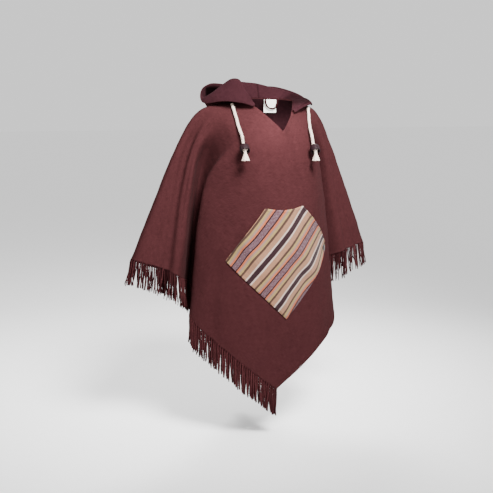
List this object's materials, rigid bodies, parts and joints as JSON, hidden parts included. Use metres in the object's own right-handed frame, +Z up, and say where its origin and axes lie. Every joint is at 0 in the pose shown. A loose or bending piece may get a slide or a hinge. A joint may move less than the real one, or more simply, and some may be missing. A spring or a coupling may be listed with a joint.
{
  "type": "hooded poncho",
  "caption": "Hooded cloth poncho with a V neck, drawcords, a striped front pocket and a fringed hem, hanging as worn.",
  "frame": {"origin": "middle of the neck opening, at the height of the nape", "axes": "+Z up, -Y the way the wearer faces, +X the wearer's left"},
  "size_m": [0.8377, 0.3699, 1.0421],
  "materials": {
    "body_cloth": "plain-woven matt cotton, dark plum brown",
    "striped_cloth": "plain-woven matt cotton with ochre, tan, mauve and maroon stripes",
    "cotton_cord": "soft braided cotton, cream",
    "dark_wood": "turned and waxed, dark maroon brown",
    "white_tape": "smooth white tape, blank",
    "black_tape": "smooth black tape, blank"
  },
  "bodies": {
    "root": {"front": "body_cloth", "back": "body_cloth", "hood_right": "body_cloth", "hood_left": "body_cloth", "pocket": "striped_cloth", "pocket_tag": "black_tape", "fringe_front_right": "body_cloth", "fringe_front_left": "body_cloth", "fringe_back_left": "body_cloth", "fringe_back_right": "body_cloth", "drawcord_right": "cotton_cord", "bead_right": "dark_wood", "cord_end_right": "cotton_cord", "drawcord_left": "cotton_cord", "bead_left": "dark_wood", "cord_end_left": "cotton_cord", "neck_label": "white_tape", "hanger_loop": "body_cloth"}
  },
  "joints": []
}
